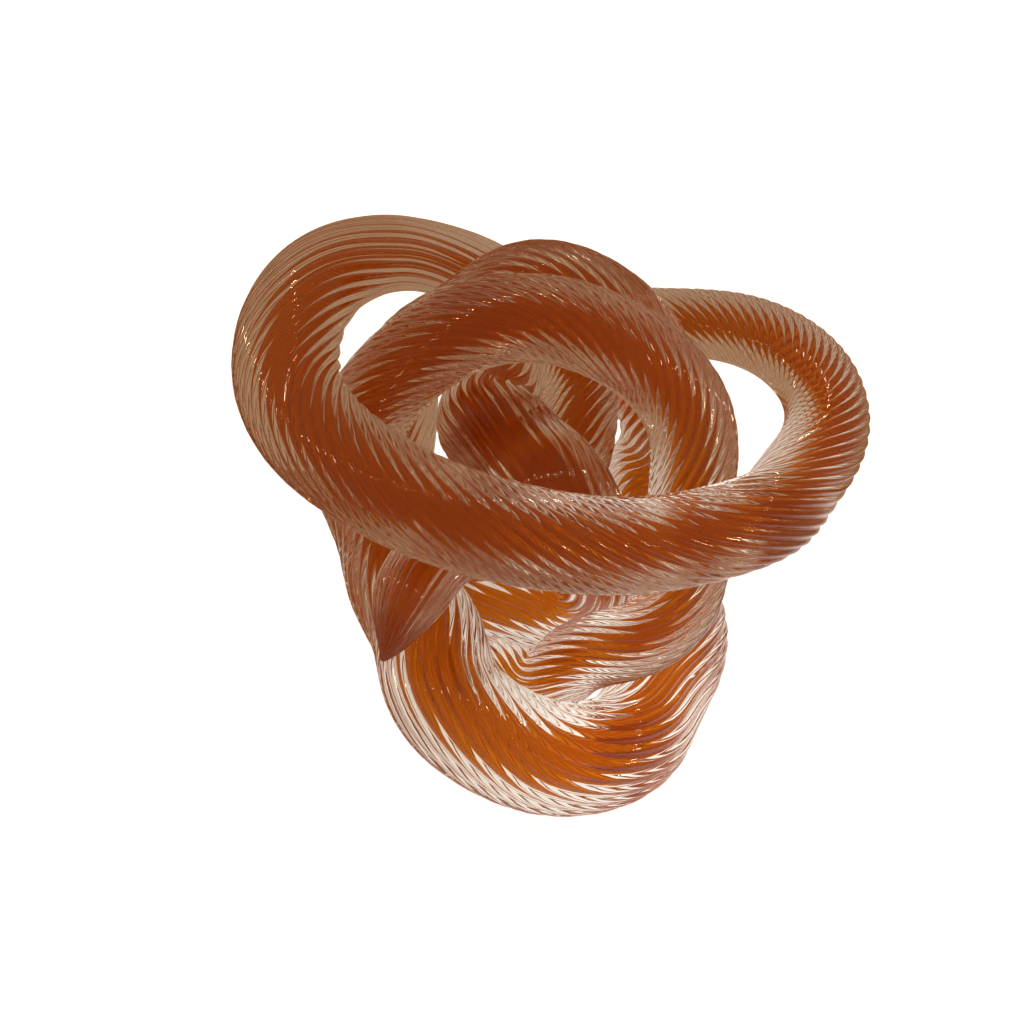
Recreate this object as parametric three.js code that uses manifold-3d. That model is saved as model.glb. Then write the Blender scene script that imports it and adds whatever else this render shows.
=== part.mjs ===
// Glass knot paperweight. One cane of clear glass over an amber core is fluted, twisted, pulled
// and tied in a loose knot while it is hot. It stands free on its lowest bends.
// Millimetres, +Z up, origin at the middle of the base, the visible rounded tail towards -Y.

import * as THREE from "three";
import { mergeVertices } from "three/addons/utils/BufferGeometryUtils.js";
import Module from "manifold-3d";

// Cane
const CANE_RADIUS = 10; // over the flutes, where the thickness factor is 1
const FLUTES = 20; // ridges around the cane
const FLUTE_DEPTH = 0.9; // crest to valley, where the thickness factor is 1
const CORE_RADIUS = 4; // the amber inside, where the thickness factor is 1
const CORE_CLEARANCE = 0.35; // between the core and its bore
const TAIL_ROUND = 7; // length of the rounded tail
const TAIL_WALL = 14; // clear glass between the core's end and the end of the tail

// Knot
const STRAND_GAP = 1; // aimed at between strands that cross
const LEAST_BEND = 1.25; // tightest bend of the middle line, in cane radii
const FOOT_CUT = 0.5; // depth of the ground flats that it stands on

// Twist: distance between two ridges along the cane, by thickness factor. The thick front bend
// was barely twisted, the thin pulled stretches most.
const RIDGE_SPACING = [
  [0.84, 3.1],
  [1.0, 4.4],
  [1.24, 5.2],
  [1.3, 12],
];

// Facets
const SAMPLE_STEP = 2.5; // of the middle line
const SETTLE_ROUNDS = 260;
const LONGEST_STEP = 16;
const TWIST_STEP = 0.8; // radians between two rings of the fluted surface
const BEND_STEP = 0.45; // radians between two rings
const CORE_SIDES = 8;

// Middle line of the cane: x, y, z and thickness factor, from the cut end under the front bend
// to the rounded tail that lies on it.
const ROUTE = [
  // cut end and the strand that climbs to the right
  [-6, -21, 9, 0.84],
  [3, -28, 11, 0.84],
  [10, -37, 16, 0.84],
  [18, -45, 26, 0.84],
  [28, -45, 34, 0.85],
  [37, -41, 44, 0.88],
  [41, -33, 54, 0.93],
  // ring over the top and down on the left
  [41, -25, 65, 0.97],
  [39, -16, 76, 1.0],
  [31, -8, 83, 1.0],
  [20, -1, 87, 1.01],
  [7, 4, 89, 1.02],
  [-7, 5, 87, 1.03],
  [-19, 5, 81, 1.04],
  [-29, 3, 72, 1.05],
  [-35, 1, 63, 1.06],
  [-36, -3, 55, 1.08],
  [-32, -8, 46, 1.1],
  // thick front bend
  [-23, -16, 37, 1.14],
  [-19, -29, 30, 1.24],
  [-16, -42, 24, 1.29],
  [-8, -52, 17, 1.3],
  [5, -57, 14, 1.28],
  [19, -55, 12, 1.24],
  // along the ground to the back, and up behind
  [30, -42, 12, 1.19],
  [37, -22, 11, 1.14],
  [41, -1, 11, 1.1],
  [40, 16, 11, 1.1],
  [36, 30, 15, 1.1],
  [32, 40, 26, 1.08],
  [33, 38, 42, 1.06],
  [36, 28, 60, 1.04],
  // second ring behind the first
  [31, 21, 75, 1.01],
  [20, 24, 84, 1.0],
  [9, 28, 86, 1.0],
  [-2, 30, 83, 1.0],
  [-11, 31, 72, 1.02],
  [-20, 34, 58, 1.04],
  [-31, 35, 44, 1.06],
  [-34, 34, 28, 1.08],
  // back foot and the bend through the middle
  [-32, 28, 12, 1.1],
  [-21, 10, 11, 1.1],
  [-7, 4, 11, 1.1],
  [7, 3, 11, 1.1],
  [17, 0, 15, 1.1],
  [21, -7, 26, 1.12],
  [20, -15, 38, 1.16],
  [15, -15, 46, 1.2],
  [7, -6, 48, 1.24],
  [-3, 11, 48, 1.3],
  [-9, 28, 54, 1.32],
  [-8, 45, 61, 1.2],
  // thin strand to the right lobe
  [4, 53, 66, 0.98],
  [20, 52, 68, 0.9],
  [35, 46, 68, 0.88],
  [50, 40, 71, 0.88],
  [63, 28, 72, 0.92],
  [72, 15, 69, 0.97],
  [73, -2, 64, 1.0],
  [65, -22, 62, 1.0],
  // band across the front
  [51, -38, 62, 1.0],
  [37, -49, 63, 1.01],
  [18, -55, 65, 1.03],
  [1, -55, 68, 1.06],
  [-15, -50, 70, 1.09],
  [-29, -41, 73, 1.14],
  // left lobe
  [-42, -29, 77, 1.19],
  [-49, -16, 83, 1.21],
  [-49, -3, 90, 1.18],
  [-44, 16, 93, 1.11],
  [-35, 37, 90, 1.0],
  [-25, 56, 83, 0.94],
  [-14, 68, 75, 0.94],
  // back over the second ring and through the middle
  [-1, 74, 66, 0.94],
  [9, 70, 55, 0.98],
  [15, 57, 48, 1.05],
  [18, 41, 42, 1.06],
  [12, 28, 37, 1.04],
  [1, 22, 29, 0.97],
  [-7, 8, 29, 0.94],
  [-10, -12, 37, 0.9],
  // tail, laid on the front bend
  [-13, -28, 45, 0.88],
  [-18, -39, 48, 0.87],
  [-21, -46, 44, 0.84],
  [-23, -52, 40, 0.79],
  [-25, -56, 37, 0.72],
];

/** Value at x of a curve given as [x, value] pairs, straight between them and level outside. */
function interpolate(pairs, x) {
  const after = pairs.findIndex(([key]) => key > x);
  if (after === 0) return pairs[0][1];
  if (after < 0) return pairs[pairs.length - 1][1];
  const [[x0, y0], [x1, y1]] = [pairs[after - 1], pairs[after]];
  return y0 + ((x - x0) / (x1 - x0)) * (y1 - y0);
}

/** Evenly spaced points of a smooth curve through the route, and the cane's radius at each. */
function sampleRoute() {
  const curve = new THREE.CatmullRomCurve3(
    ROUTE.map(([x, y, z]) => new THREE.Vector3(x, y, z)),
    false,
    "centripetal",
  );
  curve.arcLengthDivisions = 4000;
  const steps = Math.round(curve.getLength() / SAMPLE_STEP);
  const thickness = ROUTE.map((point, i) => [i, point[3]]);
  const radii = [];
  for (let i = 0; i <= steps; i++) {
    const along = curve.getUtoTmapping(i / steps) * (ROUTE.length - 1);
    radii.push(interpolate(thickness, along) * CANE_RADIUS);
  }
  return { points: curve.getSpacedPoints(steps), radii };
}

/** Pairs of samples far enough apart along the cane to be two strands. */
function* strandPairs(radii) {
  const apart = Math.ceil((3.2 * Math.max(...radii)) / SAMPLE_STEP);
  for (let i = 0; i < radii.length; i++) {
    for (let j = i + apart; j < radii.length; j++) yield [i, j];
  }
}

/** Moves strands that are too close apart, half each. */
function pushApart(points, radii) {
  const pushes = points.map(() => new THREE.Vector3());
  const counts = points.map(() => 0);
  const between = new THREE.Vector3();
  for (const [i, j] of strandPairs(radii)) {
    const wanted = radii[i] + radii[j] + STRAND_GAP;
    if (Math.abs(points[i].x - points[j].x) >= wanted) continue;
    const distance = between.subVectors(points[i], points[j]).length();
    if (distance >= wanted) continue;
    between.multiplyScalar((wanted - distance) / distance);
    pushes[i].add(between);
    pushes[j].sub(between);
    counts[i] += 1;
    counts[j] += 1;
  }
  points.forEach((point, i) => point.addScaledVector(pushes[i], 0.5 / Math.max(counts[i], 1)));
}

/** Evens out the bending, as the stiffness of the hot cane does. */
function relaxBends(points) {
  const turns = points.map((point, i) => {
    if (i === 0 || i === points.length - 1) return new THREE.Vector3();
    return points[i - 1].clone().add(points[i + 1]).addScaledVector(point, -2);
  });
  for (let i = 2; i < points.length - 2; i++) {
    const change = turns[i - 1].clone().add(turns[i + 1]).addScaledVector(turns[i], -2);
    points[i].addScaledVector(change, -0.06);
  }
}

/** Opens every bend that is tighter than the cane allows. */
function openTightBends(points, radii) {
  const reach = 2;
  const moves = points.map(() => new THREE.Vector3());
  for (let i = reach; i < points.length - reach; i++) {
    const [before, after] = [points[i - reach], points[i + reach]];
    const middle = before.clone().add(after).multiplyScalar(0.5).sub(points[i]);
    const chord = before.distanceTo(after) / 2;
    const bend = chord ** 2 / (2 * middle.length() + 1e-9);
    if (bend < LEAST_BEND * radii[i]) moves[i].addScaledVector(middle, 0.25);
  }
  points.forEach((point, i) => point.add(moves[i]));
}

/** Settles the knot: strands clear of each other and of the ground, bends smooth. */
function settle(points, radii) {
  const home = points.map((point) => point.clone());
  for (let round = 0; round < SETTLE_ROUNDS; round++) {
    pushApart(points, radii);
    points.forEach((point, i) => {
      point.z = Math.max(point.z, radii[i]);
    });
    for (let pass = 0; pass < 5; pass++) relaxBends(points);
    openTightBends(points, radii);
    points.forEach((point, i) => point.lerp(home[i], 0.006));
  }
}

/** Least gap between two strands of the cane, from its samples. */
function leastStrandGap(points, radii) {
  let least = Infinity;
  for (const [i, j] of strandPairs(radii)) {
    least = Math.min(least, points[i].distanceTo(points[j]) - radii[i] - radii[j]);
  }
  return least;
}

/** The settled cane: place, heading, side direction, radius and twist at any length along it. */
class Cane {
  constructor() {
    const { points, radii } = sampleRoute();
    settle(points, radii);
    this.points = points;
    this.radii = radii;
    this.lengths = [0];
    for (let i = 1; i < points.length; i++) {
      this.lengths.push(this.lengths[i - 1] + points[i].distanceTo(points[i - 1]));
    }
    this.headings = points.map((point, i) => {
      const before = points[Math.max(i - 1, 0)];
      const after = points[Math.min(i + 1, points.length - 1)];
      return after.clone().sub(before).normalize();
    });
    this.sides = this.carrySideAlong();
    this.twists = this.addUpTwist();
  }

  get length() {
    return this.lengths[this.lengths.length - 1];
  }

  /** A side direction at each sample that turns with the cane and never spins round it. */
  carrySideAlong() {
    const up = new THREE.Vector3(0, 0, 1);
    const sides = [up.clone().cross(this.headings[0]).normalize()];
    for (let i = 1; i < this.points.length; i++) {
      const turn = new THREE.Quaternion().setFromUnitVectors(this.headings[i - 1], this.headings[i]);
      sides.push(sides[i - 1].clone().applyQuaternion(turn).normalize());
    }
    return sides;
  }

  /** Angle that the flutes have turned at each sample, right-handed. */
  addUpTwist() {
    const twists = [0];
    for (let i = 1; i < this.points.length; i++) {
      const spacing = interpolate(RIDGE_SPACING, this.radii[i] / CANE_RADIUS);
      const turn = (2 * Math.PI * (this.lengths[i] - this.lengths[i - 1])) / (FLUTES * spacing);
      twists.push(twists[i - 1] + turn);
    }
    return twists;
  }

  /** Everything about the cane at one length along it, straight on beyond its ends. */
  at(length) {
    const inside = Math.min(Math.max(length, 0), this.length - 1e-6);
    const next = this.lengths.findIndex((reached) => reached > inside);
    const part = (inside - this.lengths[next - 1]) / (this.lengths[next] - this.lengths[next - 1]);
    const mix = (values) => values[next - 1].clone().lerp(values[next], part);
    const mixNumber = (values) => values[next - 1] + part * (values[next] - values[next - 1]);
    const heading = mix(this.headings).normalize();
    const side = mix(this.sides);
    side.addScaledVector(heading, -side.dot(heading)).normalize();
    return {
      centre: mix(this.points).addScaledVector(heading, length - inside),
      heading,
      side,
      radius: mixNumber(this.radii),
      twist: mixNumber(this.twists),
    };
  }

  /** Lengths for rings from start to end, closer where the cane bends or, if asked, twists. */
  stations(start, end, withTwist) {
    const costs = [0];
    for (let i = 1; i < this.points.length; i++) {
      const bend = this.headings[i].angleTo(this.headings[i - 1]) / BEND_STEP;
      const twist = withTwist ? (this.twists[i] - this.twists[i - 1]) / TWIST_STEP : 0;
      const plain = (this.lengths[i] - this.lengths[i - 1]) / LONGEST_STEP;
      costs.push(costs[i - 1] + Math.max(bend, twist, plain));
    }
    const costAt = this.lengths.map((length, i) => [length, costs[i]]);
    const lengthAt = costs.map((cost, i) => [cost, this.lengths[i]]);
    const [first, last] = [interpolate(costAt, start), interpolate(costAt, end)];
    const steps = Math.ceil(last - first);
    const inner = Array.from({ length: steps - 1 }, (_, k) =>
      interpolate(lengthAt, first + ((last - first) * (k + 1)) / steps),
    );
    return [start, ...inner, end];
  }
}

/**
 * A closed rod along the cane: the section, drawn in units of the local radius, is extruded
 * straight with one step a ring, and each of its rings is then set in place.
 */
function layRod(cane, section, rings) {
  const steps = rings.length - 1;
  const rod = new THREE.ExtrudeGeometry(section, { depth: steps, steps, bevelEnabled: false });
  rod.deleteAttribute("normal");
  rod.deleteAttribute("uv");
  const places = rings.map((ring) => {
    const { centre, heading, side, twist } = cane.at(ring.length);
    const across = side.clone().applyAxisAngle(heading, ring.twisted ? twist : 0);
    const up = heading.clone().cross(across);
    return new THREE.Matrix4()
      .makeBasis(across.multiplyScalar(ring.radius), up.multiplyScalar(ring.radius), heading)
      .setPosition(centre);
  });
  const position = rod.getAttribute("position");
  const vertex = new THREE.Vector3();
  for (let i = 0; i < position.count; i++) {
    vertex.fromBufferAttribute(position, i);
    const place = places[Math.round(vertex.z)];
    vertex.setZ(0).applyMatrix4(place);
    position.setXYZ(i, vertex.x, vertex.y, vertex.z);
  }
  return rod;
}

/** Star-like section of the fluted cane, of unit radius over its ridges. */
function flutedSection() {
  const valley = 1 - FLUTE_DEPTH / CANE_RADIUS;
  const outline = Array.from({ length: 2 * FLUTES }, (_, i) => {
    const angle = (Math.PI * i) / FLUTES;
    const reach = i % 2 ? valley : 1;
    return new THREE.Vector2(reach * Math.cos(angle), reach * Math.sin(angle));
  });
  return new THREE.Shape(outline);
}

/** Many-sided section of the core and its bore, of unit radius to the corners. */
function roundSection() {
  const outline = Array.from({ length: CORE_SIDES }, (_, i) => {
    const angle = (2 * Math.PI * i) / CORE_SIDES;
    return new THREE.Vector2(Math.cos(angle), Math.sin(angle));
  });
  return new THREE.Shape(outline);
}

/** Rings of the fluted surface, square at the cut end and drawn in to the rounded tail. */
function casingRings(cane) {
  const shoulder = cane.length - TAIL_ROUND;
  const straight = cane.stations(0, shoulder, true).map((length) => ({ length, round: 1 }));
  const tail = [0.4, 0.7, 0.9, 1].map((part) => ({
    length: shoulder + part * TAIL_ROUND,
    round: Math.max(Math.sqrt(1 - part ** 2), 0.14),
  }));
  return [...straight, ...tail].map(({ length, round }) => ({
    length,
    radius: cane.at(length).radius * round,
    twisted: true,
  }));
}

/** Rings of the core, or of its bore where there is a clearance around it. */
function coreRings(cane, clearance) {
  const lengths = cane.stations(0, cane.length - TAIL_WALL, false);
  if (clearance) {
    lengths[0] -= 2;
    lengths[lengths.length - 1] += clearance;
  }
  return lengths.map((length) => ({
    length,
    radius:
      (cane.at(length).radius * CORE_RADIUS) / CANE_RADIUS +
      clearance / Math.cos(Math.PI / CORE_SIDES),
    twisted: false,
  }));
}

const wasm = await Module();
wasm.setup();

function toSolid(geometry) {
  const merged = mergeVertices(geometry, 1e-4);
  return new wasm.Manifold(
    new wasm.Mesh({
      numProp: 3,
      vertProperties: merged.getAttribute("position").array,
      triVerts: new Uint32Array(merged.index.array),
    }),
  );
}

function toGeometry(solid) {
  const { vertProperties, triVerts } = solid.getMesh();
  const geometry = new THREE.BufferGeometry();
  geometry.setAttribute("position", new THREE.BufferAttribute(vertProperties, 3));
  geometry.setIndex(new THREE.BufferAttribute(triVerts, 1));
  geometry.computeVertexNormals();
  return geometry;
}

/** The block below the ground flats. */
function groundBlock(box) {
  const [width, depth] = [box.max.x - box.min.x + 20, box.max.y - box.min.y + 20];
  const block = new THREE.BoxGeometry(width, depth, 20).deleteAttribute("normal");
  block.deleteAttribute("uv");
  return block.translate(
    (box.min.x + box.max.x) / 2,
    (box.min.y + box.max.y) / 2,
    FOOT_CUT - 10,
  );
}

const cane = new Cane();
const fluted = layRod(cane, flutedSection(), casingRings(cane));
fluted.computeBoundingBox();
const box = fluted.boundingBox;
const casing = toSolid(fluted)
  .subtract(toSolid(layRod(cane, roundSection(), coreRings(cane, CORE_CLEARANCE))))
  .subtract(toSolid(groundBlock(box)));

const clearGlass = new THREE.MeshStandardMaterial({
  color: 0xe6d6c4,
  roughness: 0.06,
  metalness: 0,
  transparent: true,
  opacity: 0.4,
});
const amberGlass = new THREE.MeshStandardMaterial({
  color: 0xa8480f,
  roughness: 0.1,
  metalness: 0,
});

const clearCasing = new THREE.Mesh(toGeometry(casing), clearGlass);
clearCasing.name = "clear_casing";

const amberCore = new THREE.Mesh(layRod(cane, roundSection(), coreRings(cane, 0)), amberGlass);
amberCore.name = "amber_core";

const knot = new THREE.Group();
knot.add(clearCasing, amberCore);
knot.position.set(-(box.min.x + box.max.x) / 2, -(box.min.y + box.max.y) / 2, -FOOT_CUT);

const gap = leastStrandGap(cane.points, cane.radii);
console.log(`cane ${cane.length.toFixed(0)} mm long, least gap between strands ${gap.toFixed(2)} mm`);
console.log(`middle of the base at route x ${(-knot.position.x).toFixed(2)}, y ${(-knot.position.y).toFixed(2)}`);

const group = new THREE.Group();
group.add(knot);
export default group;
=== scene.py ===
"""Glass knot paperweight: a twisted, fluted cane of clear glass over amber, tied in a loose knot."""

import logging
import math
from dataclasses import dataclass

import bmesh
import bpy
import numpy as np
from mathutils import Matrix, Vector

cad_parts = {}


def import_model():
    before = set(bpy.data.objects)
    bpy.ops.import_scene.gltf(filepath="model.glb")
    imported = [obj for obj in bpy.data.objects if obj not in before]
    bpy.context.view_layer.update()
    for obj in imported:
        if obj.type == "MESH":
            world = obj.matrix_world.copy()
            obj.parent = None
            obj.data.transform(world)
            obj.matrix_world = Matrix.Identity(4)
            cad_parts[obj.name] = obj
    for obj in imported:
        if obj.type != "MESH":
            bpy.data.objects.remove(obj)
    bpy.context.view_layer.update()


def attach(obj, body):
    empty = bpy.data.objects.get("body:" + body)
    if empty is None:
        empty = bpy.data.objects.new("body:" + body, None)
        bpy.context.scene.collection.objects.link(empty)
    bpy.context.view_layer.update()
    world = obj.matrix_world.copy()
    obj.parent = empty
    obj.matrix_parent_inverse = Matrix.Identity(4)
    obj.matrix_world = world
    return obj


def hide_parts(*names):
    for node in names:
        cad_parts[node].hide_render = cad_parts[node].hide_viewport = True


log = logging.getLogger("knot")
MM = 0.001
BODY = "root"
INSIDE = 0.995  # keeps the smooth surface inside the box of the facetted solid
GROUND = 0.02 * MM  # height of the ground flats
FLUTES = 24

# Middle line of the cane in millimetres: x, y, z and thickness factor, from the cut end under
# the front bend to the rounded tail that lies on it. Some points lie up to 3 mm from the solids'.
ROUTE = [
    # cut end and the strand that climbs to the right
    (-6, -21, 9, 0.84),
    (3, -28, 11, 0.84),
    (10, -37, 16, 0.84),
    (18, -45, 24.5, 0.84),
    (28, -45, 32.5, 0.85),
    (37, -41, 43, 0.88),
    (41, -33, 54, 0.93),
    # ring over the top and down on the left
    (41, -25, 65, 0.97),
    (39, -16, 76, 1.0),
    (31, -8, 83, 1.0),
    (20, -1, 87, 1.01),
    (7, 4, 89, 1.02),
    (-7, 5, 87, 1.03),
    (-19, 5, 81, 1.04),
    (-29, 3, 72, 1.05),
    (-35, 1, 63, 1.06),
    (-37, -3, 55, 1.08),
    (-33, -8, 46, 1.1),
    # thick front bend
    (-21, -16, 37, 1.17),
    (-17, -29, 30, 1.28),
    (-18.5, -43, 24, 1.32),
    (-8, -52, 17, 1.3),
    (5, -57, 14, 1.28),
    (18.5, -54, 12, 1.24),
    # along the ground to the back, and up behind
    (29, -41, 12, 1.19),
    (39, -22, 11, 1.16),
    (42, -1, 11, 1.1),
    (40, 16, 11, 1.1),
    (36, 30, 15, 1.1),
    (32, 40, 26, 1.08),
    (33, 38, 42, 1.06),
    (36, 28, 60, 1.04),
    # second ring behind the first
    (31, 21, 76, 1.01),
    (20, 24, 85, 1.0),
    (9, 28, 88, 1.0),
    (-3, 30, 85, 1.0),
    (-11, 31, 72, 1.02),
    (-19, 34, 58, 1.04),
    (-29, 35, 44, 1.06),
    (-32, 34, 28, 1.08),
    # back foot and the bend through the middle
    (-32, 28, 12, 1.1),
    (-21, 10, 11, 1.1),
    (-7, 4, 11, 1.1),
    (7, 3, 11, 1.1),
    (17, 0, 15, 1.1),
    (21, -7, 26, 1.12),
    (20, -15, 38, 1.16),
    (15, -15, 46, 1.2),
    (7, -6, 48, 1.24),
    (-3, 11, 48, 1.3),
    (-9, 28, 54, 1.32),
    (-8, 45, 61, 1.2),
    # thin strand to the right lobe
    (4, 53, 66, 0.98),
    (20, 52, 68, 0.9),
    (35, 46, 68, 0.88),
    (50, 40, 71, 0.88),
    (63, 28, 72, 0.92),
    (72, 15, 69, 0.97),
    (73, -2, 64, 1.0),
    (64, -21.5, 62, 1.0),
    # band across the front
    (51, -38, 62, 1.0),
    (37, -49, 63, 1.01),
    (18, -55, 65, 1.03),
    (1, -55, 68, 1.06),
    (-15, -50, 70, 1.09),
    (-29, -41, 73, 1.14),
    # left lobe
    (-42, -29, 77, 1.19),
    (-49, -16, 83, 1.21),
    (-49, -3, 90, 1.18),
    (-44, 16, 93, 1.11),
    (-35, 37, 90, 1.0),
    (-25, 56, 83, 0.94),
    (-14, 68, 75, 0.94),
    # back over the second ring and through the middle
    (-1, 74, 66, 0.94),
    (9, 70, 55, 0.98),
    (17, 57, 48, 1.05),
    (20, 41, 42, 1.06),
    (14, 28, 37, 1.04),
    (1, 22, 29, 0.97),
    (-7, 8, 29, 0.94),
    (-10, -12, 37, 0.9),
    # tail, laid on the front bend
    (-14.5, -28, 45, 0.88),
    (-19.5, -39, 48, 0.87),
    (-23, -46, 43, 0.83),
    (-25.5, -52, 38.5, 0.76),
    (-27.5, -55, 36, 0.68),
]

# Turn of the flutes in degrees per millimetre of cane, by point of the route.
FLUTE_TURN = [
    (0, 3),
    (9, 3),
    (11, 2.4),
    (15, 3.2),
    (18, 2.5),
    (20, 1.2),
    (22, 3.1),
    (24, 0.5),
    (27, 2.5),
    (46, 2.5),
    (48, 1),
    (51, 1.5),
    (53, 3.9),
    (57, 4.4),
    (59, 2.3),
    (63, 3.6),
    (65, 3),
    (67, 3.8),
    (70, 0.8),
    (73, 1),
    (75, 3),
    (80, 2),
    (82, 0.5),
]


@dataclass
class Cane:
    """The settled middle line of the knot. Lengths are in metres."""

    radius: float = 10 * MM
    strand_gap: float = 1 * MM
    least_bend: float = 1.25
    sample_step: float = 2.5 * MM
    curve_steps: int = 200  # between two points of the route
    settle_rounds: int = 260
    same_strand: float = 3.2  # thickest radii along the cane within which nothing is pushed apart
    smoothing_rounds: int = 5
    smoothing: float = 0.06
    opening: float = 0.25  # share of a too tight bend's sag that each round takes out
    homing: float = 0.006  # share of the way back to the route that each round takes
    middle: tuple[float, float, float] = (10.88 * MM, 5.84 * MM, 0.5 * MM)

    def __post_init__(self) -> None:
        """Settles the knot and measures it."""
        centres, self.radii, self.turns = self.sample_route()
        centres = self.settle(centres, self.radii) - np.array(self.middle)
        steps = np.linalg.norm(np.diff(centres, axis=0), axis=1)
        self.lengths = np.concatenate([[0.0], np.cumsum(steps)])
        ahead = np.vstack([centres[1:], centres[-1:]]) - np.vstack([centres[:1], centres[:-1]])
        self.headings = ahead / np.linalg.norm(ahead, axis=1)[:, None]
        self.centres = centres
        self.sides = self.carry_side_along()
        self.twists = self.add_up_twist()

    @property
    def length(self) -> float:
        """Whole length of the middle line."""
        return float(self.lengths[-1])

    def sample_route(self) -> tuple[np.ndarray, np.ndarray, np.ndarray]:
        """Runs a centripetal Catmull-Rom curve through the route.

        Returns:
            Evenly spaced points of the curve, with the cane's radius and the flutes' turn at each.
        """
        points = np.array(ROUTE, float)[:, :3] * MM
        factors = np.array(ROUTE, float)[:, 3]
        padded = np.vstack([2 * points[0] - points[1], points, 2 * points[-1] - points[-2]])
        curve, places = [], []
        share = np.linspace(0, 1, self.curve_steps, endpoint=False)[:, None]
        for i in range(len(points) - 1):
            a, b, c, d = padded[i : i + 4]
            before, here, after = (np.linalg.norm(q - p) ** 0.5 for p, q in ((a, b), (b, c), (c, d)))
            leave = ((b - a) / before - (c - a) / (before + here) + (c - b) / here) * here
            arrive = ((c - b) / here - (d - b) / (here + after) + (d - c) / after) * here
            square = (-3 * b + 3 * c - 2 * leave - arrive) * share**2
            cube = (2 * b - 2 * c + leave + arrive) * share**3
            curve.append(b + leave * share + square + cube)
            places.append(i + share[:, 0])
        line = np.vstack([*curve, points[-1:]])
        place = np.concatenate([*places, [len(points) - 1]])
        reached = np.concatenate([[0.0], np.cumsum(np.linalg.norm(np.diff(line, axis=0), axis=1))])
        even = np.linspace(0, reached[-1], round(reached[-1] / self.sample_step) + 1)
        centres = np.stack([np.interp(even, reached, line[:, k]) for k in range(3)], 1)
        along = np.interp(even, reached, place)
        factor = np.interp(along, np.arange(len(points)), factors)
        turn = np.interp(along, *zip(*FLUTE_TURN))
        return centres, factor * self.radius, np.radians(turn) / MM

    def settle(self, centres: np.ndarray, radii: np.ndarray) -> np.ndarray:
        """Moves strands clear of each other and of the ground, and keeps the bends smooth.

        Args:
            centres: points of the middle line.
            radii: radius of the cane at each.

        Returns:
            The settled points.
        """
        home, centres = centres.copy(), centres.copy()
        number = np.arange(len(centres))
        apart = math.ceil(self.same_strand * radii.max() / self.sample_step)
        other_strand = np.abs(np.subtract.outer(number, number)) >= apart
        firsts, seconds = np.nonzero(np.triu(other_strand))
        wanted = radii[firsts] + radii[seconds] + self.strand_gap
        for _ in range(self.settle_rounds):
            near = np.abs(centres[firsts, 0] - centres[seconds, 0]) < wanted
            one, two = firsts[near], seconds[near]
            between = centres[one] - centres[two]
            distance = np.sqrt((between**2).sum(1))
            lack = wanted[near] - distance
            close = lack > 0
            one, two = one[close], two[close]
            push = between[close] * (lack[close] / distance[close])[:, None]
            share = np.bincount(one, minlength=len(centres)) + np.bincount(two, minlength=len(centres))
            for axis in range(3):
                moved = np.bincount(one, push[:, axis], len(centres))
                moved -= np.bincount(two, push[:, axis], len(centres))
                centres[:, axis] += moved * 0.5 / np.maximum(share, 1)
            centres[:, 2] = np.maximum(centres[:, 2], radii)
            for _ in range(self.smoothing_rounds):
                turn = np.zeros_like(centres)
                turn[1:-1] = centres[:-2] + centres[2:] - 2 * centres[1:-1]
                centres[2:-2] -= self.smoothing * (turn[1:-3] + turn[3:-1] - 2 * turn[2:-2])
            sag = (centres[:-4] + centres[4:]) / 2 - centres[2:-2]
            chord = np.linalg.norm(centres[4:] - centres[:-4], axis=1) / 2
            bend = chord**2 / (2 * np.linalg.norm(sag, axis=1) + 1e-12)
            tight = bend < self.least_bend * radii[2:-2]
            centres[2:-2] += sag * self.opening * tight[:, None]
            centres += self.homing * (home - centres)
        return centres

    def carry_side_along(self) -> np.ndarray:
        """Returns a side direction at each sample that turns with the cane and never spins round it."""
        headings = [Vector(heading) for heading in self.headings]
        sides = [Vector((0, 0, 1)).cross(headings[0]).normalized()]
        for before, here in zip(headings, headings[1:]):
            sides.append((before.rotation_difference(here) @ sides[-1]).normalized())
        return np.array(sides)

    def add_up_twist(self) -> np.ndarray:
        """Returns the angle that the flutes have turned at each sample, right-handed."""
        return np.concatenate([[0.0], np.cumsum(self.turns[1:] * np.diff(self.lengths))])

    def between(self, values: np.ndarray, lengths: np.ndarray) -> np.ndarray:
        """Reads what is kept at the samples on a smooth curve through them.

        Args:
            values: one row or number a sample.
            lengths: where along the cane they are read.

        Returns:
            One row or number a length.
        """
        last = len(self.lengths) - 1
        here = np.clip(np.searchsorted(self.lengths, lengths, side="right") - 1, 0, last - 1)
        share = (lengths - self.lengths[here]) / np.diff(self.lengths)[here]
        if values.ndim > 1:
            share = share[:, None]
        a, b, c, d = (values[np.clip(here + k, 0, last)] for k in (-1, 0, 1, 2))
        square = a - 2.5 * b + 2 * c - 0.5 * d
        cube = 1.5 * (b - c) + 0.5 * (d - a)
        return b + share * (0.5 * (c - a) + share * (square + share * cube))

    def surface(self, lengths: np.ndarray, reach: np.ndarray, angle: np.ndarray) -> np.ndarray:
        """Places rings of points round the cane.

        Args:
            lengths: one a ring.
            reach: distance from the middle line, a row for each ring.
            angle: angle round the cane, a row for each ring.

        Returns:
            The points, a row of them for each ring.
        """
        heading = unit(self.between(self.headings, lengths))
        side = self.between(self.sides, lengths)
        side = unit(side - heading * (side * heading).sum(1)[:, None])
        up = np.cross(heading, side)
        spoke = side[:, None] * np.cos(angle)[..., None] + up[:, None] * np.sin(angle)[..., None]
        return self.between(self.centres, lengths)[:, None] + spoke * reach[..., None]


def unit(rows: np.ndarray) -> np.ndarray:
    """Returns the rows at length 1."""
    return rows / np.linalg.norm(rows, axis=1)[:, None]


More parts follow.
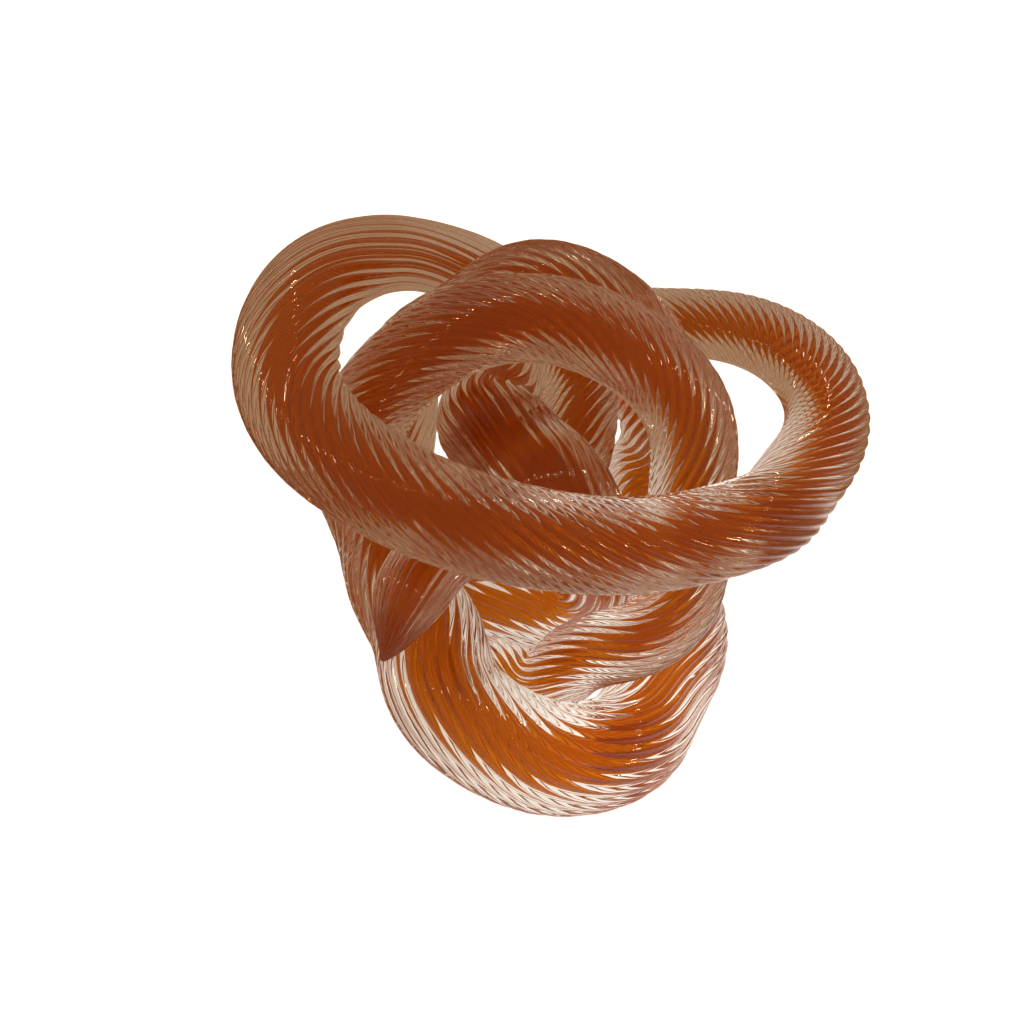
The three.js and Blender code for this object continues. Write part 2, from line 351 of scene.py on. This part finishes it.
class Socket:
    """An output or a number in a shader. Its operators add Math nodes."""

    def __init__(self, shader: "Shader", link: bpy.types.NodeSocket) -> None:
        """Keeps the shader and the socket that it links from."""
        self.shader = shader
        self.link = link

    def maths(self, operation: str, *values: "Socket | float") -> "Socket":
        """Returns the result of a Math node on the values."""
        return self.shader.add("ShaderNodeMath", {"operation": operation}, *values)

    def __add__(self, other: "Socket | float") -> "Socket":
        """Returns self + other."""
        return self.maths("ADD", self, other)

    def __mul__(self, other: "Socket | float") -> "Socket":
        """Returns self * other."""
        return self.maths("MULTIPLY", self, other)

    def __sub__(self, other: "Socket | float") -> "Socket":
        """Returns self - other."""
        return self.maths("SUBTRACT", self, other)


class Shader:
    """A new node material."""

    def __init__(self, name: str) -> None:
        """Makes an empty material of the name."""
        self.material = bpy.data.materials.new(name)
        self.material.use_nodes = True
        self.tree = self.material.node_tree
        self.tree.nodes.clear()
        self.output = self.tree.nodes.new("ShaderNodeOutputMaterial")

    def add(
        self,
        kind: str,
        settings: dict[str, object],
        *values: "Socket | float",
        output: int | str = 0,
        **sockets: object,
    ) -> Socket:
        """Adds a node.

        Args:
            kind: type of the node.
            settings: its properties.
            values: values or links of its first inputs, in order.
            output: number or name of the output that is returned.
            sockets: values or links of inputs by name, with _ for a blank.

        Returns:
            The output.
        """
        node = self.tree.nodes.new(kind)
        for name, value in settings.items():
            setattr(node, name, value)
        inputs = [(node.inputs[i], value) for i, value in enumerate(values)]
        open_inputs = {socket.name: socket for socket in reversed(node.inputs) if socket.enabled}
        inputs += [(open_inputs[name.replace("_", " ")], value) for name, value in sockets.items()]
        for socket, value in inputs:
            if isinstance(value, Socket):
                self.tree.links.new(value.link, socket)
            else:
                socket.default_value = value
        return Socket(self, node.outputs[output])

    def finish(self, surface: Socket, volume: Socket | None = None) -> bpy.types.Material:
        """Links the material's output and returns the material."""
        self.tree.links.new(surface.link, self.output.inputs["Surface"])
        if volume:
            self.tree.links.new(volume.link, self.output.inputs["Volume"])
        return self.material


@dataclass(frozen=True)
class ClearGlass:
    """Clear, faintly warm glass with slow waves and fine draw lines in its surface."""

    name: str = "clear_glass"
    tint: tuple[float, float, float] = (0.95, 0.91, 0.86)
    deep_tint: tuple[float, float, float] = (0.91, 0.86, 0.8)
    tint_scale: float = 22.0
    roughness: tuple[float, float] = (0.0, 0.02)
    index: float = 1.5
    wave_scale: float = 260.0
    wave_height: float = 0.06 * MM
    wave_strength: float = 0.04

    def make(self) -> bpy.types.Material:
        """Returns the material."""
        shader = Shader(self.name)
        place = shader.add("ShaderNodeTexCoord", {}, output="Object")
        cloud = shader.add("ShaderNodeTexNoise", {}, Vector=place, Scale=self.tint_scale, Detail=2.0)
        colour = shader.add(
            "ShaderNodeMix",
            {"data_type": "RGBA"},
            output=2,
            Factor=cloud,
            A=(*self.tint, 1.0),
            B=(*self.deep_tint, 1.0),
        )
        low, high = self.roughness
        waves = shader.add("ShaderNodeTexNoise", {}, Vector=place, Scale=self.wave_scale, Detail=1.0)
        bump = shader.add(
            "ShaderNodeBump",
            {},
            output="Normal",
            Strength=self.wave_strength,
            Distance=self.wave_height,
            Height=waves,
        )
        surface = shader.add(
            "ShaderNodeBsdfPrincipled",
            {},
            Base_Color=colour,
            Roughness=cloud * (high - low) + low,
            Normal=bump,
            IOR=self.index,
            Transmission_Weight=1.0,
        )
        return shader.finish(surface)


@dataclass(frozen=True)
class AmberGlass:
    """Half-clear amber glass inside the clear glass. Fused glass has no seam to reflect."""

    name: str = "amber_glass"
    tint: tuple[float, float, float] = (1.0, 0.46, 0.03)
    streak_tint: tuple[float, float, float] = (0.9, 0.24, 0.006)
    streak_scale: float = 55.0
    clearness: float = 0.75
    absorption: tuple[float, float, float] = (0.9, 0.7, 0.4)
    density: float = 200.0
    index: float = 1.0

    def make(self) -> bpy.types.Material:
        """Returns the material."""
        shader = Shader(self.name)
        place = shader.add("ShaderNodeTexCoord", {}, output="Object")
        streaks = shader.add("ShaderNodeTexNoise", {}, Vector=place, Scale=self.streak_scale, Detail=3.0)
        colour = shader.add(
            "ShaderNodeMix",
            {"data_type": "RGBA"},
            output=2,
            Factor=streaks,
            A=(*self.tint, 1.0),
            B=(*self.streak_tint, 1.0),
        )
        surface = shader.add(
            "ShaderNodeBsdfPrincipled",
            {},
            Base_Color=colour,
            Roughness=0.0,
            IOR=self.index,
            Transmission_Weight=self.clearness,
        )
        volume = shader.add(
            "ShaderNodeVolumeAbsorption",
            {},
            Color=(*self.absorption, 1.0),
            Density=self.density,
        )
        return shader.finish(surface, volume)


@dataclass
class Rod:
    """A closed rod along the cane, made of rings."""

    cane: Cane
    name: str
    node: str
    slot: str
    finish: ClearGlass | AmberGlass
    corners: int  # of a ring

    def rings(self) -> np.ndarray:
        """Returns the lengths of the rings along the cane."""
        raise NotImplementedError

    def reach(self, lengths: np.ndarray) -> np.ndarray:
        """Returns the distances of the corners from the middle line, a row for each ring."""
        raise NotImplementedError

    def twist(self, lengths: np.ndarray) -> np.ndarray:
        """Returns the angle by which the section is turned at each ring."""
        return np.zeros_like(lengths)

    @staticmethod
    def draw_in(lengths: np.ndarray, end: float, over: float) -> np.ndarray:
        """Returns the share of its thickness that the drawn tail keeps at each ring.

        Args:
            lengths: one a ring.
            end: length at which the tail ends.
            over: length over which it narrows.
        """
        into = np.clip((lengths - end) / over + 1, 0, 1)
        shoulder, point, least = 1.6, 0.8, 0.02
        return np.maximum((1 - into**shoulder) ** point, least)

    def places(self) -> np.ndarray:
        """Returns the places of the corners, a row for each ring."""
        lengths = self.rings()
        round_it = 2 * math.pi * np.arange(self.corners) / self.corners
        return self.cane.surface(lengths, self.reach(lengths), self.twist(lengths)[:, None] + round_it)

    def build(self) -> bpy.types.Object:
        """Wraps a grid round the cane, joins its seam, closes both ends and grinds the flats."""
        places = self.places()
        last = len(places) - 1
        places = np.concatenate([places, places[:, :1]], axis=1).tolist()
        bm = bmesh.new()
        bmesh.ops.create_grid(bm, x_segments=self.corners, y_segments=last, size=1.0)
        seam = []
        for vert in bm.verts:
            corner = round((vert.co.x + 1) / 2 * self.corners)
            vert.co = places[round((vert.co.y + 1) / 2 * last)][corner]
            if corner in (0, self.corners):
                seam.append(vert)
        bmesh.ops.remove_doubles(bm, verts=seam, dist=1e-9)
        bmesh.ops.holes_fill(bm, edges=[edge for edge in bm.edges if edge.is_boundary], sides=0)
        bmesh.ops.recalc_face_normals(bm, faces=bm.faces)
        bmesh.ops.scale(bm, vec=(INSIDE,) * 3, verts=bm.verts)
        self.grind_flats(bm)
        return self.as_piece(bm)

    @staticmethod
    def grind_flats(bm: bmesh.types.BMesh) -> None:
        """Cuts the rod level with the surface that the knot stands on."""
        parts = [*bm.verts, *bm.edges, *bm.faces]
        cut = bmesh.ops.bisect_plane(
            bm, geom=parts, dist=1e-7, plane_co=(0, 0, GROUND), plane_no=(0, 0, 1), clear_inner=True
        )
        rim = [edge for edge in cut["geom_cut"] if isinstance(edge, bmesh.types.BMEdge)]
        if rim:
            bmesh.ops.holes_fill(bm, edges=rim, sides=0)
        log.info("open edges left: %d", sum(edge.is_boundary for edge in bm.edges))

    def as_piece(self, bm: bmesh.types.BMesh) -> bpy.types.Object:
        """Makes the mesh a smooth piece with its finish, in place of its solid."""
        mesh = bpy.data.meshes.new(self.name)
        bm.to_mesh(mesh)
        bm.free()
        mesh.shade_smooth()
        mesh.materials.append(self.finish.make())
        piece = bpy.data.objects.new(self.name, mesh)
        bpy.context.scene.collection.objects.link(piece)
        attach(piece, BODY)
        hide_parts(self.node)
        log.info("%s: %d faces", self.name, len(mesh.polygons))
        return piece


@dataclass
class FlutedCasing(Rod):
    """The clear glass with its twisted flutes and the rounded tail."""

    flute_depth: float = 0.95 * MM
    ring_count: int = 655
    tail_round: float = 18 * MM
    tail_rings: int = 16
    skin: float = 0.08 * MM  # how far the surface stays inside the solid's

    def rings(self) -> np.ndarray:
        """Returns lengths of rings, close together over the rounded tail."""
        shoulder = self.cane.length - self.tail_round
        straight = np.linspace(0, shoulder, self.ring_count, endpoint=False)
        quarter = np.sin(np.linspace(0, math.pi / 2, self.tail_rings))
        return np.concatenate([straight, shoulder + (self.tail_round - self.skin) * quarter])

    def reach(self, lengths: np.ndarray) -> np.ndarray:
        """Returns the distances of the corners from the middle line, a row for each ring."""
        radius = self.cane.between(self.cane.radii, lengths)
        groove = 1 - np.abs(np.cos(math.pi * np.arange(self.corners) * FLUTES / self.corners))
        depth = self.flute_depth * radius / self.cane.radius
        drawn_in = self.draw_in(lengths, self.cane.length, self.tail_round)
        return (radius[:, None] - self.skin - depth[:, None] * groove) * drawn_in[:, None]

    def twist(self, lengths: np.ndarray) -> np.ndarray:
        """Returns the twist of the flutes."""
        return self.cane.between(self.cane.twists, lengths)


@dataclass
class AmberCore(Rod):
    """The amber glass along the middle of the cane."""

    core_radius: float = 3.9 * MM
    swell: float = 1.7  # the core thickens more than the cane does
    ring_step: float = 1.5 * MM
    cut_wall: float = 0.3 * MM
    tail_wall: float = 2.5 * MM
    tail_round: float = 14 * MM

    def rings(self) -> np.ndarray:
        """Returns lengths of rings from just inside the cut end to the tail."""
        start, end = self.cut_wall, self.cane.length - self.tail_wall
        return np.linspace(start, end, round((end - start) / self.ring_step) + 1)

    def reach(self, lengths: np.ndarray) -> np.ndarray:
        """Returns the distances of the corners from the middle line, a row for each ring."""
        thickness = self.cane.between(self.cane.radii, lengths) / self.cane.radius
        radius = self.core_radius * thickness**self.swell
        radius = radius * self.draw_in(lengths, self.cane.length - self.tail_wall, self.tail_round)
        return np.repeat(radius[:, None], self.corners, axis=1)


@dataclass
class Studio:
    """Pale floor with a painted glow seen only in the glass, soft light and the camera at the
    photograph's angle.
    """

    target: tuple[float, float, float] = (-0.01071, -0.006, 0.0395)
    elevation: float = 31.0
    distance: float = 0.4
    lens: float = 59.06
    sensor: float = 36.0
    floor_size: float = 12.0
    floor_colour: tuple[float, float, float] = (0.95, 0.945, 0.94)
    floor_glow: float = 0.92  # keeps the floor white round the knot's faint shadow
    # To the glass the floor is a painted glow in this colour, with a painted pool of light round the
    # place below; it shows in the glass as painted highlights and reflections. The world uses the same
    # colour as its even light.
    room_light_and_painted_floor_glow: tuple[float, float, float] = (0.38, 0.235, 0.135)
    painted_pool_place: tuple[float, float, float] = (0.07, -0.045, 0.0)
    painted_pool_reach: tuple[float, float] = (0.055, 0.15)  # full up to the first, gone at the second
    painted_pool_colour: tuple[float, float, float] = (1.2, 1.14, 1.06)
    bounces: int = 24
    lamp_size: float = 0.12
    lamp_power: float = 2.2
    lamp_colour: tuple[float, float, float] = (1.0, 0.8, 0.5)

    def camera(self) -> None:
        """Sets the camera."""
        data = bpy.data.cameras.new("camera")
        data.lens = self.lens
        data.sensor_width = self.sensor
        data.clip_start, data.clip_end = 0.01, 100.0
        camera = bpy.data.objects.new("camera", data)
        up = math.radians(self.elevation)
        back = Vector((0.0, -math.cos(up), math.sin(up)))
        camera.location = Vector(self.target) + back * self.distance
        camera.rotation_euler = (-back).to_track_quat("-Z", "Y").to_euler()
        bpy.context.scene.collection.objects.link(camera)
        bpy.context.scene.camera = camera

    def floor(self) -> None:
        """Makes the floor: white to the camera, and to the glass a painted beige glow with a painted pool
        of light, seen in the glass as painted highlights and reflections.
        """
        bm = bmesh.new()
        bmesh.ops.create_grid(bm, x_segments=1, y_segments=1, size=self.floor_size / 2)
        mesh = bpy.data.meshes.new("floor")
        bm.to_mesh(mesh)
        bm.free()
        shader = Shader("studio_floor")
        backdrop = shader.add(
            "ShaderNodeBsdfPrincipled",
            {},
            Base_Color=(*self.floor_colour, 1.0),
            Roughness=0.9,
            Emission_Color=(1.0, 1.0, 1.0, 1.0),
            Emission_Strength=self.floor_glow,
        )
        place = shader.add("ShaderNodeTexCoord", {}, output="Object")
        away = shader.add(
            "ShaderNodeVectorMath", {"operation": "DISTANCE"}, place, self.painted_pool_place, output="Value"
        )
        near, far = self.painted_pool_reach
        painted_floor_glow = shader.add(
            "ShaderNodeMix",
            {"data_type": "RGBA"},
            output=2,
            Factor=(away - near) * (1 / (far - near)),
            A=(*self.painted_pool_colour, 1.0),
            B=(*self.room_light_and_painted_floor_glow, 1.0),
        )
        # Painted glow with a painted pool of light, seen only by the glass as painted highlights and
        # reflections.
        painted_glass_floor = shader.add("ShaderNodeEmission", {}, Color=painted_floor_glow)
        seen = shader.add("ShaderNodeLightPath", {}, output="Is Camera Ray")
        mesh.materials.append(shader.finish(shader.add("ShaderNodeMixShader", {}, seen, painted_glass_floor, backdrop)))
        floor = bpy.data.objects.new("floor", mesh)
        bpy.context.scene.collection.objects.link(floor)

    def lamp(self, name: str, place: tuple[float, float, float]) -> None:
        """Adds a square soft light that faces the knot.

        Args:
            name: its name.
            place: where it hangs.
        """
        data = bpy.data.lights.new(name, "AREA")
        data.size = self.lamp_size
        data.energy = self.lamp_power
        data.color = self.lamp_colour
        lamp = bpy.data.objects.new(name, data)
        lamp.location = place
        aim = Vector(self.target) - Vector(place)
        lamp.rotation_euler = aim.to_track_quat("-Z", "Y").to_euler()
        bpy.context.scene.collection.objects.link(lamp)

    def room(self) -> None:
        """Sets the even light of the room."""
        world = bpy.data.worlds.new("room")
        world.use_nodes = True
        world.node_tree.nodes["Background"].inputs["Color"].default_value = (*self.room_light_and_painted_floor_glow, 1.0)
        bpy.context.scene.world = world

    def build(self) -> None:
        """Sets up the studio."""
        self.camera()
        self.floor()
        self.room()
        self.lamp("lamp_front", (-0.6, -0.5, 1.3))
        self.lamp("lamp_right", (1.1, 0.1, 1.1))
        scene = bpy.context.scene
        scene.view_settings.view_transform = "Standard"
        scene.cycles.max_bounces = self.bounces
        scene.cycles.glossy_bounces = self.bounces
        scene.cycles.transmission_bounces = self.bounces


def corners(box: tuple[Vector, Vector]) -> list[list[float]]:
    """Returns a box as plain lists of numbers."""
    return [list(corner) for corner in box]


def main() -> None:
    """Builds the visual model round the solids."""
    logging.basicConfig(level=logging.INFO, format="%(name)s: %(message)s")
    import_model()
    Studio().build()
    cane = Cane()
    log.info("cane %.0f mm long", cane.length / MM)
    FlutedCasing(cane, "fluted_casing", "clear_casing", "clear_glass", ClearGlass(), 6 * FLUTES).build()
    AmberCore(cane, "core_of_amber", "amber_core", "amber_glass", AmberGlass(), 32).build()


if __name__ == "__main__":
    main()
